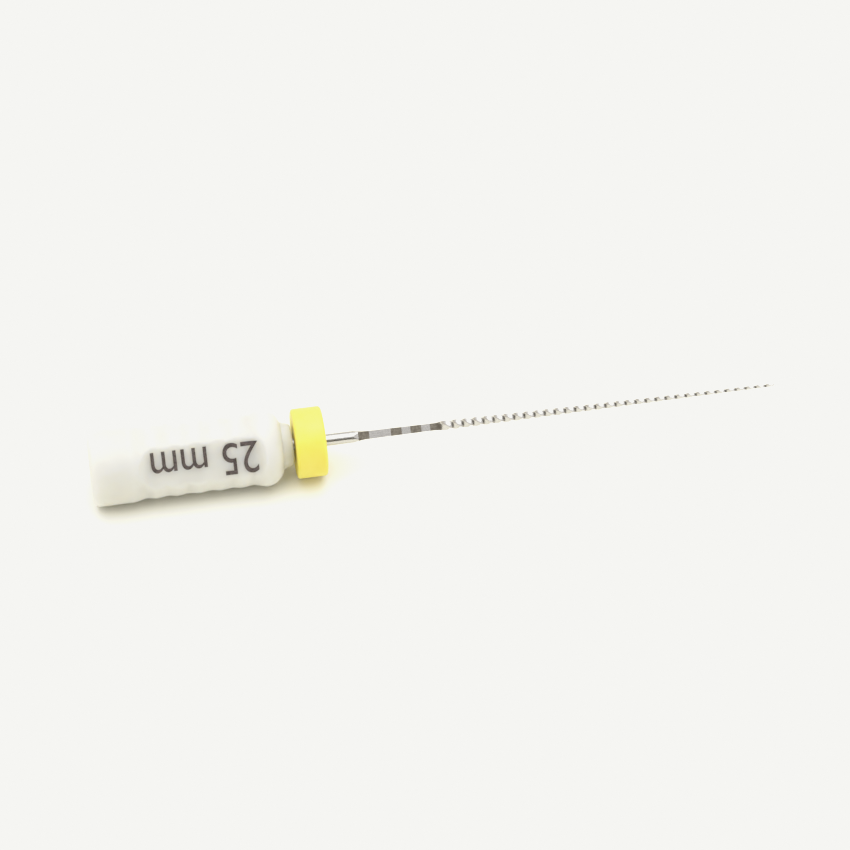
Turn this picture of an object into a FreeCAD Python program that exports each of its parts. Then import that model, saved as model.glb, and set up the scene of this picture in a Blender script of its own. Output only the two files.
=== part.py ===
import FreeCAD, Part
import math
import os
from FreeCAD import Vector

# A 25 mm endodontic hand file: a moulded handle, one steel blade and a silicone stop.
# The origin is the centre of the handle's rear face. +X runs along the blade to its tip, and +Z is up
# as the file lies on its side. All lengths are in millimetres and all angles in degrees.

# Handle
HANDLE_LENGTH = 10.0
COLLAR_RADIUS = 1.90
COLLAR_LENGTH = 1.95
REAR_ROUND = 0.30
GRIP_RADIUS = 1.78
GRIP_START = 2.75
GRIP_END = 7.7
RIDGE_COUNT = 5
RIDGE_PITCH = 1.05
RIDGE_HEIGHT = 0.06
SHOULDER_PEAK = 8.6
SHOULDER_RADIUS = 1.93
SHOULDER_MIDDLE = 9.15
SHOULDER_MIDDLE_RADIUS = 1.73
SHOULDER_END = 9.5
NOSE_RADIUS = 1.2
NOSE_FACE_RADIUS = 0.95
NOSE_ROUND = 0.12

# The two label flats, on opposite sides of the grip
LABEL_ELEVATION = 32.0
LABEL_PLANE = 1.50
LABEL_START = 3.15
LABEL_END = 7.75
LABEL_RUN_OUT_RADIUS = 1.1

# Blade
BLADE_LENGTH = 25.0
TIP_DIAMETER = 0.15
TAPER = 0.02
WIRE_DIAMETER = 0.59
GROUND_LENGTH = 21.15
TWISTED_LENGTH = 17.85
FLUTE_PITCH = 0.527
TWIST_RAMP = 0.8
TIP_POINT_LENGTH = 0.1
GRINDING_WHEEL_RADIUS = 3.0

# The blade's flattened anchor inside the handle
ANCHOR_START = 2.7
ANCHOR_LENGTH = 1.5
ANCHOR_WIDTH = 0.90
ANCHOR_THICKNESS = 0.30
ANCHOR_SHOULDER = 0.35

# Silicone stop
STOP_RADIUS = 1.75
STOP_THICKNESS = 1.5
STOP_GAP = 0.12
STOP_EDGE_ROUND = 0.14
STOP_BORE_CLEARANCE = 0.01

# Construction: how far cutters reach past what they cut, and points along the splines
LABEL_CUTTER_REACH = 0.3
SLAB_CUTTER_REACH = 0.05
POINTS_PER_RIDGE = 8
POINTS_PER_FLUTE = 4

X_AXIS = Vector(1, 0, 0)
CENTRE = Vector(0, 0, 0)
SAME_DIRECTION = 1
TIP_X = HANDLE_LENGTH + BLADE_LENGTH
TWIST_START_X = TIP_X - TWISTED_LENGTH
TIP_BASE_X = TIP_X - TIP_POINT_LENGTH
WIRE_RADIUS = WIRE_DIAMETER / 2
GROUND_START_X = TIP_X - GROUND_LENGTH


def blade_radius(x):
    """Half of the ground blade's corner-to-corner diameter at x."""
    return (TIP_DIAMETER + TAPER * (TIP_X - x)) / 2


def point(x, radius):
    """A point of a profile that is revolved about the X axis."""
    return Vector(x, 0, radius)


def revolve(edges):
    face = Part.Face(Part.Wire(edges))
    return face.revolve(CENTRE, X_AXIS, 360)


def smooth_edge(points, start_slope, end_slope):
    """A spline through the points, with the given profile slope at each end."""
    curve = Part.BSplineCurve()
    curve.interpolate(
        Points=points,
        InitialTangent=Vector(1, 0, start_slope),
        FinalTangent=Vector(1, 0, end_slope),
    )
    return curve.toShape()


def grip_profile():
    """Low rings along the waist: whole cosine waves between two plain stretches."""
    rings = RIDGE_COUNT * RIDGE_PITCH
    start = (GRIP_START + GRIP_END - rings) / 2
    steps = RIDGE_COUNT * POINTS_PER_RIDGE
    points = []
    for i in range(steps + 1):
        wave = (1 - math.cos(2 * math.pi * RIDGE_COUNT * i / steps)) / 2
        points.append(point(start + rings * i / steps, GRIP_RADIUS + RIDGE_HEIGHT * wave))
    return points


def handle_body():
    """The handle as a revolved solid, before its flats and the blade's seat are cut."""
    collar_rear = point(REAR_ROUND, COLLAR_RADIUS)
    collar_front = point(COLLAR_LENGTH, COLLAR_RADIUS)
    rings = grip_profile()
    peak = point(SHOULDER_PEAK, SHOULDER_RADIUS)
    nose_rear = point(SHOULDER_END, NOSE_RADIUS)
    nose_front = point(HANDLE_LENGTH - NOSE_ROUND, NOSE_FACE_RADIUS + NOSE_ROUND)
    face_rim = point(HANDLE_LENGTH, NOSE_FACE_RADIUS)

    corner = REAR_ROUND * (1 - math.sqrt(0.5))
    rear_round = Part.Arc(
        point(0, COLLAR_RADIUS - REAR_ROUND),
        point(corner, COLLAR_RADIUS - corner),
        collar_rear,
    ).toShape()
    shoulder = Part.Arc(
        peak,
        point(SHOULDER_MIDDLE, SHOULDER_MIDDLE_RADIUS),
        nose_rear,
    ).toShape()
    nose_corner = NOSE_ROUND * (1 - math.sqrt(0.5))
    nose_round = Part.Arc(
        nose_front,
        point(HANDLE_LENGTH - nose_corner, NOSE_FACE_RADIUS + NOSE_ROUND - nose_corner),
        face_rim,
    ).toShape()
    edges = [
        Part.makeLine(CENTRE, point(0, COLLAR_RADIUS - REAR_ROUND)),
        rear_round,
        Part.makeLine(collar_rear, collar_front),
        smooth_edge([collar_front, rings[0]], 0, 0),
        smooth_edge(rings, 0, 0),
        smooth_edge([rings[-1], peak], 0, 0),
        shoulder,
        Part.makeLine(nose_rear, nose_front),
        nose_round,
        Part.makeLine(face_rim, point(HANDLE_LENGTH, 0)),
        Part.makeLine(point(HANDLE_LENGTH, 0), CENTRE),
    ]
    return revolve(edges)


def run_out(radius, rise):
    """An arc that starts level and climbs by rise: its run, and the run and climb of its middle."""
    run = math.sqrt(radius**2 - (radius - rise) ** 2)
    half_angle = math.asin(run / radius) / 2
    return run, radius * math.sin(half_angle), radius * (1 - math.cos(half_angle))


def label_cutter(elevation):
    """Removes one label flat: a plane along the grip that curves out at both ends."""
    outside = COLLAR_RADIUS + LABEL_CUTTER_REACH
    run, mid_run, mid_rise = run_out(LABEL_RUN_OUT_RADIUS, outside - LABEL_PLANE)

    floor_start = point(LABEL_START, LABEL_PLANE)
    floor_end = point(LABEL_END, LABEL_PLANE)
    rear_top = point(LABEL_START - run, outside)
    front_top = point(LABEL_END + run, outside)
    rear_arc = Part.Arc(
        rear_top, point(LABEL_START - mid_run, LABEL_PLANE + mid_rise), floor_start
    ).toShape()
    front_arc = Part.Arc(
        floor_end, point(LABEL_END + mid_run, LABEL_PLANE + mid_rise), front_top
    ).toShape()
    outline = Part.Wire(
        [rear_arc, Part.makeLine(floor_start, floor_end), front_arc, Part.makeLine(front_top, rear_top)]
    )
    width = 2 * COLLAR_RADIUS
    cutter = Part.Face(outline).extrude(Vector(0, width, 0))
    cutter.translate(Vector(0, -width / 2, 0))
    # the outline is drawn facing +Z; this turns it to face elevation degrees above -Y
    cutter.rotate(CENTRE, X_AXIS, 90 - elevation)
    return cutter


def ground_slab(turn):
    """Space between two opposite ground facets, with the grinding wheel's run-out at the wire's end.

    Returns the slab and the x of its rear end, where it is wider than the wire.
    """
    half_first = blade_radius(GROUND_START_X) * math.sqrt(0.5)
    half_last = blade_radius(TWIST_START_X) * math.sqrt(0.5)
    rise = WIRE_RADIUS + SLAB_CUTTER_REACH - half_first
    run, mid_run, mid_rise = run_out(GRINDING_WHEEL_RADIUS, rise)
    slab_rear_x = GROUND_START_X - run

    def facet_edges(side):
        outer = point(slab_rear_x, side * (half_first + rise))
        middle = point(GROUND_START_X - mid_run, side * (half_first + mid_rise))
        inner = point(GROUND_START_X, side * half_first)
        front = point(TWIST_START_X, side * half_last)
        return [Part.Arc(outer, middle, inner).toShape(), Part.makeLine(inner, front)]

    front_edge = Part.makeLine(point(TWIST_START_X, half_last), point(TWIST_START_X, -half_last))
    rear_edge = Part.makeLine(
        point(slab_rear_x, -half_first - rise), point(slab_rear_x, half_first + rise)
    )
    outline = Part.Wire([*facet_edges(1), front_edge, *reversed(facet_edges(-1)), rear_edge])
    slab = Part.Face(outline).extrude(Vector(0, WIRE_DIAMETER * 2, 0))
    slab.translate(Vector(0, -WIRE_DIAMETER, 0))
    slab.rotate(CENTRE, X_AXIS, turn)
    return slab, slab_rear_x


def shaft():
    """The round wire, and its ground square stretch up to the start of the twist."""
    slab, slab_rear_x = ground_slab(45)
    other_slab = ground_slab(135)[0]
    square_wire = Part.makeCylinder(
        WIRE_RADIUS, TWIST_START_X - slab_rear_x, Vector(slab_rear_x, 0, 0), X_AXIS
    )
    square_part = square_wire.common(slab).common(other_slab)
    round_start = ANCHOR_START + ANCHOR_LENGTH
    round_part = Part.makeCylinder(
        WIRE_RADIUS, slab_rear_x - round_start, Vector(round_start, 0, 0), X_AXIS
    )
    return round_part.fuse(square_part)


def twist_angle(x):
    """The blade's twist at x: it starts gently over the ramp and then runs at an even pitch."""
    rate = math.pi / 2 / FLUTE_PITCH
    along = x - TWIST_START_X
    if along < TWIST_RAMP:
        return rate * along**2 / (2 * TWIST_RAMP)
    return rate * (along - TWIST_RAMP / 2)


def corner_point(x, corner):
    angle = twist_angle(x) + corner * math.pi / 2
    radius = blade_radius(x)
    return Vector(x, radius * math.cos(angle), radius * math.sin(angle))


def twisted_part():
    """The twisted square: four right-hand corner helices on a cone, joined by ruled faces."""
    steps = round(TWISTED_LENGTH / FLUTE_PITCH) * POINTS_PER_FLUTE
    stations = []
    for i in range(steps + 1):
        stations.append(TWIST_START_X + (TIP_BASE_X - TWIST_START_X) * i / steps)
    helices = []
    for corner in range(4):
        curve = Part.BSplineCurve()
        curve.interpolate([corner_point(x, corner) for x in stations])
        helices.append(curve.toShape())
    faces = []
    apex = Vector(TIP_X, 0, 0)
    for corner in range(4):
        neighbour = (corner + 1) % 4
        faces.append(Part.makeRuledSurface(helices[corner], helices[neighbour], SAME_DIRECTION))
        tip_edge = [corner_point(TIP_BASE_X, corner), corner_point(TIP_BASE_X, neighbour)]
        faces.append(Part.Face(Part.makePolygon([*tip_edge, apex, tip_edge[0]])))
    start = [corner_point(TWIST_START_X, corner) for corner in (0, 1, 2, 3, 0)]
    faces.append(Part.Face(Part.makePolygon(start)))
    skin = Part.makeCompound(faces)
    skin.sewShape()
    return Part.Solid(skin.Shells[0])


def anchor():
    """The wire's end, pressed flat so that it can't turn or pull out of the handle."""
    end = ANCHOR_START + ANCHOR_LENGTH
    half_width = ANCHOR_WIDTH / 2
    corners = [
        (ANCHOR_START, -half_width),
        (end - ANCHOR_SHOULDER, -half_width),
        (end, -WIRE_RADIUS),
        (end, WIRE_RADIUS),
        (end - ANCHOR_SHOULDER, half_width),
        (ANCHOR_START, half_width),
        (ANCHOR_START, -half_width),
    ]
    outline = Part.makePolygon([Vector(x, y, -ANCHOR_THICKNESS / 2) for x, y in corners])
    return Part.Face(outline).extrude(Vector(0, 0, ANCHOR_THICKNESS))


def file_blade():
    blade = anchor().fuse([shaft(), twisted_part()])
    return blade.removeSplitter()


def handle(blade):
    body = handle_body()
    body = body.cut(label_cutter(LABEL_ELEVATION))
    body = body.cut(label_cutter(LABEL_ELEVATION + 180))
    return body.cut(blade)


def silicone_stop():
    """A round disc with softened rims, pierced by the wire."""
    rear = HANDLE_LENGTH + STOP_GAP
    disc = Part.makeCylinder(STOP_RADIUS, STOP_THICKNESS, Vector(rear, 0, 0), X_AXIS)
    rims = [edge for edge in disc.Edges if edge.Closed]
    disc = disc.makeFillet(STOP_EDGE_ROUND, rims)
    bore = Part.makeCylinder(
        WIRE_RADIUS + STOP_BORE_CLEARANCE, STOP_THICKNESS, Vector(rear, 0, 0), X_AXIS
    )
    return disc.cut(bore)


def write(name, shape):
    solids = shape.Solids
    assert len(solids) == 1 and solids[0].isValid(), name
    solids[0].exportStep(f"parts/{name}.step")
    print(name, "volume", round(solids[0].Volume, 4), "box", solids[0].BoundBox)


os.makedirs("parts", exist_ok=True)
BLADE = file_blade()
write("file_blade", BLADE)
write("handle", handle(BLADE))
write("silicone_stop", silicone_stop())
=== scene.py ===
import math

import bmesh
import bpy
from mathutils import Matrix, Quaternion, Vector


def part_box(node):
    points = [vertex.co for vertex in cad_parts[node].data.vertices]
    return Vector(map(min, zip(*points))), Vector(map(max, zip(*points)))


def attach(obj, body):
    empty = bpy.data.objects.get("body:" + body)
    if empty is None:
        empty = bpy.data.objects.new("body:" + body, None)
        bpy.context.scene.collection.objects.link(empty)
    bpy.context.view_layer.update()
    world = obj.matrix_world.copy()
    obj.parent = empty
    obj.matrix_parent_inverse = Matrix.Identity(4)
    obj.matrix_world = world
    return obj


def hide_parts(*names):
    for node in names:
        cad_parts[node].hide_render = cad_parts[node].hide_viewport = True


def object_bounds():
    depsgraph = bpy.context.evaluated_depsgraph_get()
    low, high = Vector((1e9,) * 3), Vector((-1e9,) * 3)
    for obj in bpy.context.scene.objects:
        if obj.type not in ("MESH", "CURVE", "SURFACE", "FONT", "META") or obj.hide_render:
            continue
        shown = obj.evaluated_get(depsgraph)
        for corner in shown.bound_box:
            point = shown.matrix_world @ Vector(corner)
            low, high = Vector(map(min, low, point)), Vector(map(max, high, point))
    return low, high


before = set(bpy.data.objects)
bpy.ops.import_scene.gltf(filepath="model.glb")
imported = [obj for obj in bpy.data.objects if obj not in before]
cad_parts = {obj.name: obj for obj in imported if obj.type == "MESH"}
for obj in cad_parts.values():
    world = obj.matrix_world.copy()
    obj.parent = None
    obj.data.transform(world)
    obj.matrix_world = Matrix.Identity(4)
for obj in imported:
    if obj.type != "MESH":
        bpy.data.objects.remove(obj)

CAD_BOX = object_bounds()

# A 25 mm endodontic hand file on a table: the handle, the blade, the silicone stop and the printed length.
# Lengths are in millimetres and angles in degrees, unless a comment says otherwise.
MM = 0.001

# ---- sizes, taken from the frame where the CAD nodes hold them ----
HANDLE_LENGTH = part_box("handle")[1].x / MM
STOP_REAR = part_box("silicone_stop")[0].x / MM
STOP_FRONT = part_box("silicone_stop")[1].x / MM
STOP_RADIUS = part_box("silicone_stop")[1].z / MM
ANCHOR_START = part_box("file_blade")[0].x / MM
TIP_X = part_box("file_blade")[1].x / MM

# handle
COLLAR_RADIUS = 1.90
COLLAR_END = 1.95
REAR_ROUND = 0.30
GRIP_RADIUS = 1.78
RING_COUNT = 5
RING_PITCH = 1.05
RING_HEIGHT = 0.06
RINGS_START = 2.6
SHOULDER_PEAK = 8.6
SHOULDER_RADIUS = 1.93
SHOULDER_END = 9.5
SHOULDER_MIDDLE = (9.15, 1.73)
NOSE_RADIUS = 1.2
NOSE_FACE_RADIUS = 0.95
NOSE_ROUND = 0.12

# the two label flats; the print is on the one that faces up and towards -Y
LABEL_ELEVATION = 32.0
LABEL_PLANE = 1.50
LABEL_START = 3.15
LABEL_END = 7.75
LABEL_RUN_OUT_RADIUS = 1.1
LABEL_EDGE_SOFTNESS = 0.05

# blade; a band's depth is the distance of its rear edge from the tip
TIP_DIAMETER = 0.15
TAPER = 0.02
WIRE_RADIUS = 0.295
GROUND_LENGTH = 21.15
TWISTED_LENGTH = 17.85
FLUTE_PITCH = 0.527
TWIST_RAMP = 0.8
TIP_POINT_LENGTH = 0.1
GRINDING_WHEEL_RADIUS = 3.0
TWIST_START = TIP_X - TWISTED_LENGTH
GROUND_START = TIP_X - GROUND_LENGTH
BAND_DEPTHS = (21.65, 20.0, 19.0, 18.0)
BAND_WIDTH = 0.55

# the blade's flattened end inside the handle
ANCHOR_LENGTH = 1.5
ANCHOR_END = ANCHOR_START + ANCHOR_LENGTH
ANCHOR_HALF_WIDTH = 0.45
ANCHOR_HALF_THICKNESS = 0.15
ANCHOR_SHOULDER = 0.35
ANCHOR_CORNER_POWER = 0.3  # 1 makes the flattened section an ellipse and 0 a rectangle

# stop
STOP_EDGE_ROUND = 0.14
BORE_RADIUS = 0.305

# ---- mesh density: points round a section, and sections along the shapes that repeat ----
HANDLE_AROUND = 320
BLADE_AROUND = 96
STOP_AROUND = 160
SECTIONS_PER_RING = 28
SECTIONS_PER_FLUTE = 14
REAR_CENTRE_RADIUS = 0.1  # the innermost ring of points on the handle's rear face
DENSE_BEHIND_GROUND = 1.0  # sections stand close together this far behind GROUND_START
DENSE_AHEAD_OF_GROUND = 0.2


# ---- mesh helpers ----
def smoothstep(t):
    t = min(max(t, 0.0), 1.0)
    return t * t * (3 - 2 * t)


def steps(start, end, count):
    """count values from start up to, but without, end."""
    return [start + (end - start) * i / count for i in range(count)]


def arc_through(start, middle, end, count):
    """Points on the circle through three (x, r) points, from start up to, but without, end."""
    (ax, ay), (bx, by), (cx, cy) = start, middle, end
    d = 2 * (ax * (by - cy) + bx * (cy - ay) + cx * (ay - by))
    a2, b2, c2 = ax**2 + ay**2, bx**2 + by**2, cx**2 + cy**2
    centre_x = (a2 * (by - cy) + b2 * (cy - ay) + c2 * (ay - by)) / d
    centre_y = (a2 * (cx - bx) + b2 * (ax - cx) + c2 * (bx - ax)) / d
    radius = math.hypot(ax - centre_x, ay - centre_y)
    first = math.atan2(ay - centre_y, ax - centre_x)
    last = math.atan2(cy - centre_y, cx - centre_x)
    sweep = (last - first + math.pi) % (2 * math.pi) - math.pi
    angles = steps(first, first + sweep, count)
    return [(centre_x + radius * math.cos(t), centre_y + radius * math.sin(t)) for t in angles]


def quarter_round(start, corner, end, count):
    """Points on the quarter circle that rounds corner off, from start up to, but without, end."""
    inward = 1 - math.sqrt(0.5)
    middle = [c + (s + e - 2 * c) * inward for s, c, e in zip(start, corner, end)]
    return arc_through(start, middle, end, count)


def round_ring(x, radius, count):
    angles = steps(0, 2 * math.pi, count)
    return [Vector((x, radius * math.cos(a), radius * math.sin(a))) for a in angles]


def skin(name, rings, closed_loop=False, ends=(None, None), sharp_angle=35):
    """A mesh object over rings of points in mm. ends are points that close the first and last ring."""
    mesh = bpy.data.meshes.new(name)
    bm = bmesh.new()
    made = [[bm.verts.new(p * MM) for p in ring] for ring in rings]
    count = len(rings[0])
    pairs = list(zip(made, made[1:]))
    if closed_loop:
        pairs.append((made[-1], made[0]))
    for low, high in pairs:
        for i in range(count):
            j = (i + 1) % count
            bm.faces.new((low[i], low[j], high[j], high[i]))
    for end, ring in zip(ends, (made[0], made[-1])):
        if end is None:
            continue
        centre = bm.verts.new(end * MM)
        for i in range(count):
            bm.faces.new((ring[i], ring[(i + 1) % count], centre))
    bmesh.ops.recalc_face_normals(bm, faces=bm.faces)
    for face in bm.faces:
        face.smooth = True
    bm.to_mesh(mesh)
    bm.free()
    mesh.set_sharp_from_angle(angle=math.radians(sharp_angle))
    piece = bpy.data.objects.new(name, mesh)
    bpy.context.scene.collection.objects.link(piece)
    return piece


# ---- the blade's end inside the handle, and the handle's seat round it ----
def buried_ring(x, count):
    """Section of the wire inside the handle: round, and pressed flat over the anchor."""
    flat = smoothstep((ANCHOR_END - x) / ANCHOR_SHOULDER)
    width = WIRE_RADIUS + (ANCHOR_HALF_WIDTH - WIRE_RADIUS) * flat
    thickness = WIRE_RADIUS + (ANCHOR_HALF_THICKNESS - WIRE_RADIUS) * flat
    power = 1 + (ANCHOR_CORNER_POWER - 1) * flat

    def swell(value):
        return math.copysign(abs(value) ** power, value)

    angles = steps(0, 2 * math.pi, count)
    return [Vector((x, width * swell(math.cos(a)), thickness * swell(math.sin(a)))) for a in angles]


def buried_stations():
    """x of the buried sections, from the anchor's end to the handle's nose."""
    flat_end = ANCHOR_END - ANCHOR_SHOULDER
    stations = steps(ANCHOR_START, flat_end, 6) + steps(flat_end, ANCHOR_END, 16)
    return stations + steps(ANCHOR_END, HANDLE_LENGTH, 12) + [HANDLE_LENGTH]


# ---- handle ----
def handle_profile():
    """(x, radius) points of the handle's outside, from the rear face's rim to the wire."""
    rear_rim = (0.0, COLLAR_RADIUS - REAR_ROUND)
    points = quarter_round(rear_rim, (0.0, COLLAR_RADIUS), (REAR_ROUND, COLLAR_RADIUS), 12)
    points += [(x, COLLAR_RADIUS) for x in steps(REAR_ROUND, COLLAR_END, 24)]
    for x in steps(COLLAR_END, RINGS_START, 20):
        fall = smoothstep((x - COLLAR_END) / (RINGS_START - COLLAR_END))
        points.append((x, COLLAR_RADIUS + (GRIP_RADIUS - COLLAR_RADIUS) * fall))
    rings_end = RINGS_START + RING_COUNT * RING_PITCH
    for x in steps(RINGS_START, rings_end, RING_COUNT * SECTIONS_PER_RING):
        wave = (1 - math.cos(2 * math.pi * (x - RINGS_START) / RING_PITCH)) / 2
        points.append((x, GRIP_RADIUS + RING_HEIGHT * wave))
    for x in steps(rings_end, SHOULDER_PEAK, 22):
        rise = smoothstep((x - rings_end) / (SHOULDER_PEAK - rings_end))
        points.append((x, GRIP_RADIUS + (SHOULDER_RADIUS - GRIP_RADIUS) * rise))
    points += arc_through(
        (SHOULDER_PEAK, SHOULDER_RADIUS), SHOULDER_MIDDLE, (SHOULDER_END, NOSE_RADIUS), 40
    )
    nose_rear = Vector((SHOULDER_END, NOSE_RADIUS))
    nose_front = Vector((HANDLE_LENGTH - NOSE_ROUND, NOSE_FACE_RADIUS + NOSE_ROUND))
    nose_corner = (HANDLE_LENGTH, NOSE_FACE_RADIUS + NOSE_ROUND)
    nose_face = (HANDLE_LENGTH, NOSE_FACE_RADIUS)
    points += [tuple(nose_rear.lerp(nose_front, t)) for t in steps(0, 1, 12)]
    points += quarter_round(tuple(nose_front), nose_corner, nose_face, 8)
    points += [(HANDLE_LENGTH, r) for r in steps(NOSE_FACE_RADIUS, WIRE_RADIUS, 8)]
    return points


def label_height(x):
    """Height above the axis of the label's floor at x, with its curved run-outs."""
    beyond = max(LABEL_START - x, x - LABEL_END, 0.0)
    if beyond >= LABEL_RUN_OUT_RADIUS:
        return 2 * COLLAR_RADIUS
    return LABEL_PLANE + LABEL_RUN_OUT_RADIUS - math.sqrt(LABEL_RUN_OUT_RADIUS**2 - beyond**2)


def soft_min(a, b, softness):
    """The smaller of a and b, rounded off where they are within softness of each other."""
    overlap = max(softness - abs(a - b), 0.0) / softness
    return min(a, b) - overlap * overlap * softness / 4


def label_normal():
    elevation = math.radians(LABEL_ELEVATION)
    return Vector((0, -math.cos(elevation), math.sin(elevation)))


def cut_labels(p):
    """Presses a point of the handle's surface down onto the two label flats."""
    normal = label_normal()
    height = p.dot(normal)
    side = 1 if height > 0 else -1
    floor = label_height(p.x)
    return p + normal * side * (soft_min(abs(height), floor, LABEL_EDGE_SOFTNESS) - abs(height))


def make_handle():
    rings = []
    for r in steps(REAR_CENTRE_RADIUS, COLLAR_RADIUS - REAR_ROUND, 10):
        rings.append(round_ring(0.0, r, HANDLE_AROUND))
    for x, r in handle_profile():
        rings.append([cut_labels(p) for p in round_ring(x, r, HANDLE_AROUND)])
    rings += [buried_ring(x, HANDLE_AROUND) for x in reversed(buried_stations())]
    ends = (Vector((0, 0, 0)), Vector((ANCHOR_START, 0, 0)))
    piece = skin("handle_grip", rings, ends=ends)
    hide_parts("handle")
    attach(piece, "file")
    return piece


# ---- blade ----
def blade_radius(x):
    """Half of the ground blade's corner-to-corner diameter at x."""
    return (TIP_DIAMETER + TAPER * (TIP_X - x)) / 2


def twist(x):
    """The blade's turn at x in radians: it starts gently over the ramp, then runs at an even pitch."""
    along = x - TWIST_START
    if along <= 0:
        return 0.0
    rate = math.pi / 2 / FLUTE_PITCH
    if along < TWIST_RAMP:
        return rate * along**2 / (2 * TWIST_RAMP)
    return rate * (along - TWIST_RAMP / 2)


def facet_height(x):
    """Distance of the four ground facets from the axis. Behind GROUND_START the wheel runs out."""
    half = blade_radius(max(x, GROUND_START)) * math.sqrt(0.5)
    if x >= GROUND_START:
        return half
    back = min(GROUND_START - x, GRINDING_WHEEL_RADIUS)
    return half + GRINDING_WHEEL_RADIUS - math.sqrt(GRINDING_WHEEL_RADIUS**2 - back**2)


def blade_ring(x, count):
    """The blade's section at x: a square, turned by the twist and kept inside the round wire."""
    facet = facet_height(x)
    turned = twist(x)
    points = []
    for a in steps(0, 2 * math.pi, count):
        from_facet = (a % (math.pi / 2)) - math.pi / 4
        radius = min(facet / math.cos(from_facet), WIRE_RADIUS)
        points.append(Vector((x, radius * math.cos(a + turned), radius * math.sin(a + turned))))
    return points


def band_edges():
    """x of each depth band's rear and front edge."""
    return [(TIP_X - depth, TIP_X - depth + BAND_WIDTH) for depth in BAND_DEPTHS]


def blade_stations():
    """x of every section outside the handle, closer where the shape changes and at the bands' edges.

    The section at the handle's nose is left out, since it is the last of the buried ones.
    """
    dense_start = GROUND_START - DENSE_BEHIND_GROUND
    dense_end = GROUND_START + DENSE_AHEAD_OF_GROUND
    tip_base = TIP_X - TIP_POINT_LENGTH
    flutes = round(TWISTED_LENGTH / FLUTE_PITCH)
    stations = steps(HANDLE_LENGTH, dense_start, 12)[1:]
    stations += steps(dense_start, dense_end, 60)
    stations += steps(dense_end, TWIST_START, 40)
    stations += steps(TWIST_START, tip_base, flutes * SECTIONS_PER_FLUTE)
    stations.append(tip_base)
    for start, end in band_edges():
        stations += [start, end]
    return sorted(set(stations))


def make_blade():
    rings = [buried_ring(x, BLADE_AROUND) for x in buried_stations()]
    rings += [blade_ring(x, BLADE_AROUND) for x in blade_stations()]
    ends = (Vector((ANCHOR_START, 0, 0)), Vector((TIP_X, 0, 0)))
    piece = skin("steel_blade", rings, ends=ends, sharp_angle=25)
    for face in piece.data.polygons:
        x = face.center.x / MM
        marked = any(start < x < end for start, end in band_edges())
        face.material_index = 1 if marked else 0
    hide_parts("file_blade")
    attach(piece, "file")
    return piece


# ---- stop ----
def stop_profile():
    """(x, radius) points round the stop's closed section."""
    rear, front, outer, edge = STOP_REAR, STOP_FRONT, STOP_RADIUS, STOP_EDGE_ROUND
    points = [(rear, r) for r in steps(BORE_RADIUS, outer - edge, 20)]
    points += quarter_round((rear, outer - edge), (rear, outer), (rear + edge, outer), 8)
    points += [(x, outer) for x in steps(rear + edge, front - edge, 14)]
    points += quarter_round((front - edge, outer), (front, outer), (front, outer - edge), 8)
    points += [(front, r) for r in steps(outer - edge, BORE_RADIUS, 20)]
    points += [(x, BORE_RADIUS) for x in steps(front, rear, 14)]
    return points


def make_stop():
    rings = [round_ring(x, r, STOP_AROUND) for x, r in stop_profile()]
    piece = skin("silicone_disc", rings, closed_loop=True, sharp_angle=60)
    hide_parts("silicone_stop")
    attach(piece, "stop")
    return piece


# ---- printed length ----
PRINT_TEXT = "25 mm"
PRINT_HEIGHT = 1.62
PRINT_LENGTH = 5.25
PRINT_CENTRE_X = 5.6
PRINT_THICKNESS = 0.006
PRINT_SECTIONS = 60


def text_mesh():
    """The print's letters, lying flat in mm, with X along the line and their middle at the origin."""
    curve = bpy.data.curves.new("length_print", "FONT")
    curve.body = PRINT_TEXT
    curve.extrude = 0.5  # to each side, so the letters are 1 thick before they are scaled
    curve.resolution_u = 8
    source = bpy.data.objects.new("length_print_source", curve)
    bpy.context.scene.collection.objects.link(source)
    bpy.context.view_layer.update()
    mesh = bpy.data.meshes.new_from_object(source)
    bpy.data.objects.remove(source)

    xs = [v.co.x for v in mesh.vertices]
    ys = [v.co.y for v in mesh.vertices]
    x_scale = PRINT_LENGTH / (max(xs) - min(xs))
    y_scale = PRINT_HEIGHT / (max(ys) - min(ys))
    for v in mesh.vertices:
        v.co.x = (v.co.x - (max(xs) + min(xs)) / 2) * x_scale
        v.co.y = (v.co.y - (max(ys) + min(ys)) / 2) * y_scale
        v.co.z *= PRINT_THICKNESS
    return mesh


def cut_across(mesh, xs):
    """Splits the mesh's faces at each x, so that it can bend there."""
    bm = bmesh.new()
    bm.from_mesh(mesh)
    for x in xs:
        everything = bm.verts[:] + bm.edges[:] + bm.faces[:]
        bmesh.ops.bisect_plane(bm, geom=everything, plane_co=(x, 0, 0), plane_no=(1, 0, 0))
    bm.to_mesh(mesh)
    bm.free()


def make_print():
    """The blade's length in the plain built-in typeface, bent to the label and half sunk in it.

    It reads from the handle's nose to its rear.
    """
    mesh = text_mesh()
    cut_across(mesh, steps(-PRINT_LENGTH / 2, PRINT_LENGTH / 2, PRINT_SECTIONS)[1:])
    normal = label_normal()
    along = Vector((-1, 0, 0))
    upward = normal.cross(along)
    for v in mesh.vertices:
        x = PRINT_CENTRE_X - v.co.x
        height = label_height(x) + v.co.z
        v.co = (Vector((x, 0, 0)) + upward * v.co.y + normal * height) * MM
    piece = bpy.data.objects.new("length_print", mesh)
    bpy.context.scene.collection.objects.link(piece)
    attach(piece, "file")
    return piece


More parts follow.
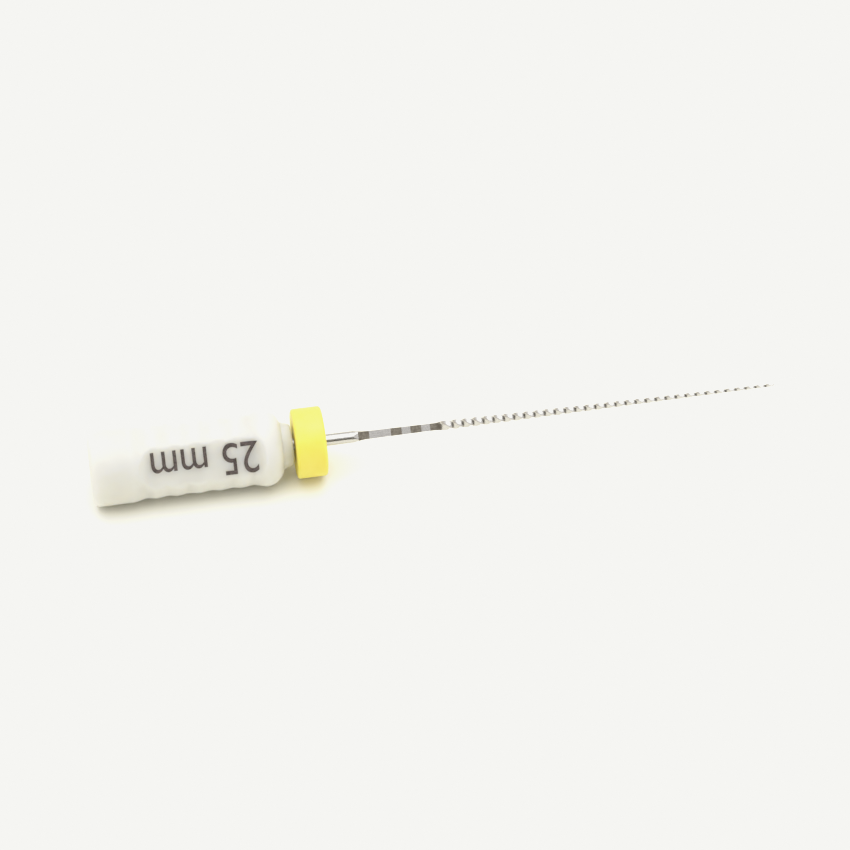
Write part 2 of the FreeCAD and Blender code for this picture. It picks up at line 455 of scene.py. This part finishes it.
# ---- materials ----
class Look:
    """A node material, with short calls for the nodes that these materials share."""

    def __init__(self, name):
        self.material = bpy.data.materials.new(name)
        self.material.use_nodes = True
        self.tree = self.material.node_tree
        self.shader = self.tree.nodes["Principled BSDF"]
        self.place = self.tree.nodes.new("ShaderNodeTexCoord").outputs["Object"]

    def link(self, source, target):
        self.tree.links.new(source, target)

    def set(self, **values):
        """Plain values for the shader's inputs, with _ for a space in an input's name."""
        for name, value in values.items():
            self.shader.inputs[name.replace("_", " ")].default_value = value

    def in_mm(self, stretch=(1, 1, 1)):
        """Object coordinates in mm, stretched."""
        mapping = self.tree.nodes.new("ShaderNodeMapping")
        mapping.inputs["Scale"].default_value = [s / MM for s in stretch]
        self.link(self.place, mapping.inputs["Vector"])
        return mapping.outputs["Vector"]

    def noise(self, per_mm, detail=3, stretch=(1, 1, 1)):
        node = self.tree.nodes.new("ShaderNodeTexNoise")
        node.inputs["Scale"].default_value = per_mm
        node.inputs["Detail"].default_value = detail
        self.link(self.in_mm(stretch), node.inputs["Vector"])
        return node.outputs["Fac"]

    def ramp(self, factor, *stops):
        node = self.tree.nodes.new("ShaderNodeValToRGB")
        ramp = node.color_ramp
        while len(ramp.elements) < len(stops):
            ramp.elements.new(0.5)
        for element, (position, colour) in zip(ramp.elements, stops):
            element.position = position
            element.color = (*colour, 1)
        self.link(factor, node.inputs["Fac"])
        return node.outputs["Color"]

    def spread(self, factor, low, high):
        """factor, which is mostly 0.3 to 0.7 for a noise, spread from low to high."""
        node = self.tree.nodes.new("ShaderNodeMapRange")
        node.inputs["From Min"].default_value = 0.3
        node.inputs["From Max"].default_value = 0.7
        node.inputs["To Min"].default_value = low
        node.inputs["To Max"].default_value = high
        self.link(factor, node.inputs["Value"])
        return node.outputs["Result"]

    def add(self, a, b):
        node = self.tree.nodes.new("ShaderNodeMath")
        self.link(a, node.inputs[0])
        self.link(b, node.inputs[1])
        return node.outputs["Value"]

    def bump(self, height, depth_mm):
        node = self.tree.nodes.new("ShaderNodeBump")
        node.inputs["Distance"].default_value = depth_mm * MM
        self.link(height, node.inputs["Height"])
        self.link(node.outputs["Normal"], self.shader.inputs["Normal"])

    def colour(self, output):
        self.link(output, self.shader.inputs["Base Color"])

    def roughness(self, output):
        self.link(output, self.shader.inputs["Roughness"])


def handle_plastic():
    look = Look("handle_plastic")
    cloud = look.noise(0.7, detail=2)
    look.colour(look.ramp(cloud, (0.35, (0.590, 0.588, 0.560)), (0.65, (0.617, 0.615, 0.585))))
    look.roughness(look.spread(look.noise(6), 0.30, 0.42))
    look.bump(look.noise(14, detail=2), 0.004)
    look.set(Subsurface_Weight=1.0, Subsurface_Scale=2.0 * MM, Subsurface_Radius=(1.0, 0.9, 0.7))
    look.set(IOR=1.48)
    return look.material


def blade_steel():
    look = Look("blade_steel")
    grind = look.noise(1, detail=4, stretch=(90, 6, 6))
    drawn = look.noise(1, detail=3, stretch=(1.5, 45, 45))
    marks = look.add(grind, drawn)
    look.colour(look.ramp(grind, (0.3, (0.46, 0.445, 0.43)), (0.7, (0.60, 0.585, 0.565))))
    look.roughness(look.spread(drawn, 0.18, 0.34))
    look.bump(marks, 0.002)
    look.set(Metallic=1.0)
    return look.material


def depth_mark():
    look = Look("depth_mark")
    patches = look.noise(9, detail=4)
    look.colour(look.ramp(patches, (0.35, (0.11, 0.095, 0.075)), (0.75, (0.22, 0.20, 0.165))))
    look.roughness(look.spread(patches, 0.38, 0.55))
    look.bump(patches, 0.003)
    look.set(Metallic=0.35)
    return look.material


def silicone():
    look = Look("silicone")
    cloud = look.noise(1.1, detail=2)
    look.colour(look.ramp(cloud, (0.35, (0.81, 0.675, 0.10)), (0.65, (0.84, 0.71, 0.125))))
    look.roughness(look.spread(look.noise(9), 0.42, 0.58))
    look.bump(look.noise(16, detail=3), 0.006)
    look.set(Subsurface_Weight=0.5, Subsurface_Scale=0.7 * MM, Subsurface_Radius=(1.0, 0.8, 0.25))
    return look.material


def print_ink():
    look = Look("print_ink")
    patches = look.noise(7, detail=5)
    look.colour(look.ramp(patches, (0.35, (0.045, 0.034, 0.032)), (0.72, (0.12, 0.095, 0.09))))
    look.roughness(look.spread(patches, 0.45, 0.62))
    look.bump(patches, 0.002)
    return look.material


def table_top():
    """A pale warm top. The light washes it out to white, and its warmth shows only in the shadows."""
    look = Look("table_top")
    look.colour(look.ramp(look.noise(0.05), (0.3, (0.90, 0.885, 0.79)), (0.7, (0.91, 0.895, 0.80))))
    look.roughness(look.spread(look.noise(0.4), 0.75, 0.85))
    return look.material


# ---- stage, light and camera: lengths in metres, but the lens and sensor in millimetres ----
FLOOR_HALF_WIDTH = 0.6

# the sky is SKY_TOP from straight up to the angle with this cosine, and fades to SKY_HORIZON below it
SKY_TOP_COSINE = 0.75
SKY_TOP = (1.15, 1.15, 1.15)
SKY_HORIZON = (0.72, 0.65, 0.50)

# cosines of the angles from straight ahead at which the dark zone in front ends and is darkest
DARK_ZONE_RIM = math.cos(math.radians(51))
DARK_ZONE_CORE = math.cos(math.radians(27))
DARK_ZONE = (0.10, 0.09, 0.07)
NO_SHADE = (1, 1, 1)

# numbers of the colour sockets of a mix node
MIX_A, MIX_B, MIX_RESULT = 6, 7, 2

SOFTBOX_PLACE = (0.012, 0.0, 0.25)
SOFTBOX_AIM = (0.012, 0.0, 0.0)
SOFTBOX_SIZE = 0.26
SOFTBOX_WATTS = 0.6

CAMERA_ELEVATION = 45
CAMERA_AZIMUTH = -10.6
CAMERA_ROLL = 0.5
CAMERA_DISTANCE = 0.110
CAMERA_AIM = (0.0168, 0.0002, 0)
CAMERA_LENS = 92.6
CAMERA_SENSOR = 36
CAMERA_CLIP = (0.001, 10)

# display values: tones stay as they are up to TONE_KNEE, then rise more slowly to each channel's white
TONE_KNEE = 0.75
TONE_WHITES = (0.913, 0.913, 0.888)


def make_floor():
    half = FLOOR_HALF_WIDTH
    height = CAD_BOX[0][2]
    mesh = bpy.data.meshes.new("floor")
    corners = [(-half, -half), (half, -half), (half, half), (-half, half)]
    mesh.from_pydata([(x, y, height) for x, y in corners], [], [(0, 1, 2, 3)])
    floor = bpy.data.objects.new("floor", mesh)
    bpy.context.scene.collection.objects.link(floor)
    mesh.materials.append(table_top())


def make_world():
    """Soft light from above and behind. The side that the camera looks from is darker."""
    world = bpy.data.worlds.new("studio")
    bpy.context.scene.world = world
    world.use_nodes = True
    tree = world.node_tree
    direction = tree.nodes.new("ShaderNodeTexCoord").outputs["Generated"]

    def toward(target, low, high, colour_low, colour_high):
        """A colour that changes as the direction swings towards target, by cosine low to high."""
        dot = tree.nodes.new("ShaderNodeVectorMath")
        dot.operation = "DOT_PRODUCT"
        dot.inputs[1].default_value = target
        tree.links.new(direction, dot.inputs[0])
        span = tree.nodes.new("ShaderNodeMapRange")
        span.interpolation_type = "SMOOTHSTEP"
        span.inputs["From Min"].default_value = low
        span.inputs["From Max"].default_value = high
        tree.links.new(dot.outputs["Value"], span.inputs["Value"])
        mix = tree.nodes.new("ShaderNodeMix")
        mix.data_type = "RGBA"
        mix.inputs[MIX_A].default_value = (*colour_low, 1)
        mix.inputs[MIX_B].default_value = (*colour_high, 1)
        tree.links.new(span.outputs["Result"], mix.inputs["Factor"])
        return mix.outputs[MIX_RESULT]

    up = (0, 0, 1)
    front = (0, -1, 0)
    sky = toward(up, 0.0, SKY_TOP_COSINE, SKY_HORIZON, SKY_TOP)
    shade = toward(front, DARK_ZONE_RIM, DARK_ZONE_CORE, NO_SHADE, DARK_ZONE)
    product = tree.nodes.new("ShaderNodeMix")
    product.data_type = "RGBA"
    product.blend_type = "MULTIPLY"
    product.inputs["Factor"].default_value = 1
    tree.links.new(sky, product.inputs[MIX_A])
    tree.links.new(shade, product.inputs[MIX_B])
    tree.links.new(product.outputs[MIX_RESULT], tree.nodes["Background"].inputs["Color"])


def make_softbox():
    """A square area light over the file, facing down."""
    light = bpy.data.lights.new("overhead", "AREA")
    light.shape = "SQUARE"
    light.size = SOFTBOX_SIZE
    light.energy = SOFTBOX_WATTS
    box = bpy.data.objects.new("overhead", light)
    box.location = SOFTBOX_PLACE
    facing = Vector(SOFTBOX_AIM) - Vector(SOFTBOX_PLACE)
    box.rotation_euler = facing.to_track_quat("-Z", "Y").to_euler()
    bpy.context.scene.collection.objects.link(box)


def make_camera():
    elevation = math.radians(CAMERA_ELEVATION)
    azimuth = math.radians(CAMERA_AZIMUTH)
    back = Vector(
        (
            math.sin(azimuth) * math.cos(elevation),
            -math.cos(azimuth) * math.cos(elevation),
            math.sin(elevation),
        )
    )
    data = bpy.data.cameras.new("camera")
    data.sensor_width = CAMERA_SENSOR
    data.lens = CAMERA_LENS
    data.clip_start, data.clip_end = CAMERA_CLIP
    camera = bpy.data.objects.new("camera", data)
    camera.location = Vector(CAMERA_AIM) + back * CAMERA_DISTANCE
    level = (-back).to_track_quat("-Z", "Y")
    camera.rotation_euler = (level @ Quaternion((0, 0, 1), math.radians(CAMERA_ROLL))).to_euler()
    bpy.context.scene.collection.objects.link(camera)
    bpy.context.scene.camera = camera


def set_tones():
    """A plain view with the brightest tones held back, so that the lit floor is a faintly warm white."""
    view = bpy.context.scene.view_settings
    view.view_transform = "Standard"
    view.use_curve_mapping = True
    mapping = view.curve_mapping
    mapping.extend = "HORIZONTAL"
    for channel, white in zip(mapping.curves, TONE_WHITES):
        channel.points[0].location = (0, 0)
        channel.points[1].location = (1, white)
        channel.points.new(TONE_KNEE, TONE_KNEE)
        for point in channel.points:
            point.handle_type = "VECTOR"
    mapping.update()


make_handle().data.materials.append(handle_plastic())
blade = make_blade()
blade.data.materials.append(blade_steel())
blade.data.materials.append(depth_mark())
make_stop().data.materials.append(silicone())
make_print().data.materials.append(print_ink())
make_floor()
make_world()
make_softbox()
make_camera()
set_tones()
